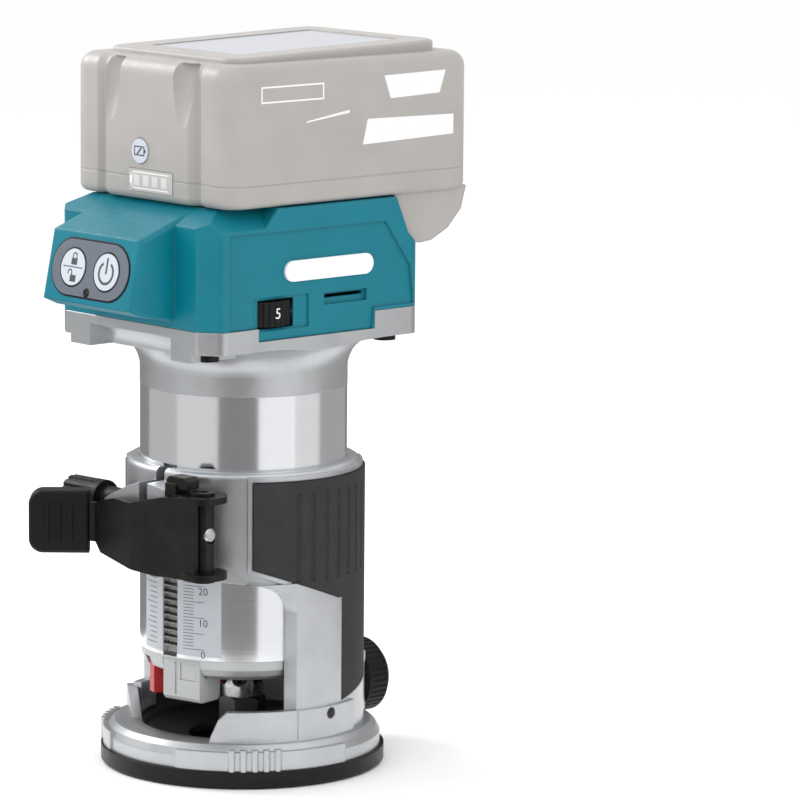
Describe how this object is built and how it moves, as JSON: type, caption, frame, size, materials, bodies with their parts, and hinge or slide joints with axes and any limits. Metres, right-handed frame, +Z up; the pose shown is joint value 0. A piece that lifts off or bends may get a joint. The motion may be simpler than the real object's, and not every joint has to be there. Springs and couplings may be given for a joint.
{
  "type": "trim router",
  "caption": "Cordless trim router with a clamped round base, sliding motor, cam lever, rack depth adjuster, speed dial, spindle lock and slide-on battery pack.",
  "frame": {"origin": "centre of the base plate underside, on the spindle axis", "axes": "+Z up along the spindle, -Y to the front with the window, clamp and buttons, +X to the side with the speed dial"},
  "size_m": [0.0896, 0.1259, 0.2274],
  "materials": {
    "resin_black": "moulded resin, satin",
    "fastener_steel": "turned, plain",
    "casting_silver": "silver sand-textured paint",
    "grip_rubber": "matt rubber",
    "lever_black": "black oxide, satin",
    "plastic_black": "fine spark texture",
    "gear_steel": "cut teeth, oiled",
    "barrel_metal": "turned and polished",
    "label_print": "printed film",
    "cap_grey": "silver paint",
    "lamp_clear": "frosted",
    "board_green": "circuit board",
    "lock_red": "moulded",
    "stator_iron": "laminated",
    "copper": "enamelled copper",
    "nut_steel": "machined",
    "housing_teal": "satin moulded",
    "panel_grey": "printed film",
    "button_white": "printed film",
    "badge_white": "plain",
    "pack_grey": "satin moulded",
    "gauge_print": "printed film",
    "spring_steel": "wound wire",
    "cell_wrap": "shrink film over steel cans"
  },
  "bodies": {
    "base": {"base_plate": "resin_black", "base_plate_screws": "fastener_steel", "base_casting": "casting_silver", "grip_right": "grip_rubber", "grip_left": "grip_rubber", "clamp_bolt": "fastener_steel", "cross_pin": "lever_black", "cam_block": "lever_black"},
    "lever": {"clamp_lever": "lever_black", "lever_tip": "plastic_black"},
    "adjuster": {"pinion": "gear_steel", "adjuster_knob": "plastic_black"},
    "guide_knob": {"clamp_knob": "plastic_black", "clamp_knob_screw": "fastener_steel"},
    "motor": {"motor_barrel": "barrel_metal", "depth_rack": "gear_steel", "scale_label": "label_print", "end_cap": "cap_grey", "lamp_lens": "lamp_clear", "lamp_board": "board_green", "lower_bearing": "fastener_steel", "upper_bearing": "fastener_steel", "stator_core": "stator_iron", "windings": "copper", "head_casting": "casting_silver", "head_screws": "lever_black", "head_housing": "housing_teal", "button_panel": "panel_grey", "panel_board": "board_green", "dial_pin": "plastic_black", "control_board": "board_green", "side_badge": "badge_white", "terminal_block": "plastic_black", "terminal_blades": "copper"},
    "rotor_assembly": {"spindle": "fastener_steel", "rotor": "stator_iron", "fan": "plastic_black", "collet": "fastener_steel"},
    "nut": {"collet_nut": "nut_steel"},
    "shaft_lock": {"shaft_lock": "lock_red"},
    "lock_button": {"lock_button": "button_white"},
    "power_button": {"power_button": "button_white"},
    "dial": {"speed_dial": "plastic_black"},
    "battery": {"battery_cover": "pack_grey", "battery_tray": "pack_grey", "latch_spring": "spring_steel", "battery_cells": "cell_wrap", "cell_board": "board_green", "contact_clips": "copper", "gauge_panel": "gauge_print", "top_label": "label_print"},
    "latch": {"release_latch": "pack_grey"},
    "gauge_button": {"gauge_button": "button_white"}
  },
  "joints": [
    {"name": "depth_slide", "type": "slide", "parent": "base", "child": "motor", "axis": [0, 0, 1], "range_m": [-0.01, 0.03]},
    {"name": "adjuster_turn", "type": "hinge", "parent": "base", "child": "adjuster", "pos_m": [0.00302, -0.03447, 0.0845], "axis": [0.9962, 0.0872, 0], "range_deg": [-195, 580]},
    {"name": "lever_swing", "type": "hinge", "parent": "base", "child": "lever", "pos_m": [0.02551, -0.03802, 0.0792], "axis": [0, 0, 1], "range_deg": [0, 115]},
    {"name": "guide_knob_turn", "type": "hinge", "parent": "base", "child": "guide_knob", "pos_m": [0, 0.047, 0.02], "axis": [0, 1, 0], "continuous": true},
    {"name": "spindle_spin", "type": "hinge", "parent": "motor", "child": "rotor_assembly", "pos_m": [0, 0, 0.06], "axis": [0, 0, 1], "continuous": true},
    {"name": "nut_turn", "type": "hinge", "parent": "rotor_assembly", "child": "nut", "pos_m": [0, 0, 0.015], "axis": [0, 0, 1], "continuous": true},
    {"name": "shaft_lock_press", "type": "slide", "parent": "motor", "child": "shaft_lock", "axis": [0.342, 0.9397, 0], "range_m": [0, 0.0035], "stiffness_N_per_m": 600, "springref_m": -0.003},
    {"name": "lock_press", "type": "slide", "parent": "motor", "child": "lock_button", "axis": [0, 0.9778, -0.2096], "range_m": [0, 0.0008], "stiffness_N_per_m": 1500, "springref_m": -0.0008},
    {"name": "power_press", "type": "slide", "parent": "motor", "child": "power_button", "axis": [0, 0.9778, -0.2096], "range_m": [0, 0.0008], "stiffness_N_per_m": 1500, "springref_m": -0.0008},
    {"name": "dial_turn", "type": "hinge", "parent": "motor", "child": "dial", "pos_m": [0.0262, -0.0194, 0.148], "axis": [0, 0, 1], "range_deg": [-140, 0]},
    {"name": "battery_slide", "type": "slide", "parent": "motor", "child": "battery", "axis": [0, 1, 0], "range_m": [0, 0.095]},
    {"name": "latch_press", "type": "slide", "parent": "battery", "child": "latch", "axis": [0, 0, 1], "range_m": [0, 0.003], "stiffness_N_per_m": 1200, "springref_m": -0.002, "deforming": ["latch_spring"]},
    {"name": "gauge_press", "type": "slide", "parent": "battery", "child": "gauge_button", "axis": [0, 1, 0], "range_m": [0, 0.0006], "stiffness_N_per_m": 1500, "springref_m": -0.0008}
  ],
  "couplings": [
    {"joint": "adjuster_turn", "follows": "depth_slide", "rad_per_m": 333.33}
  ]
}
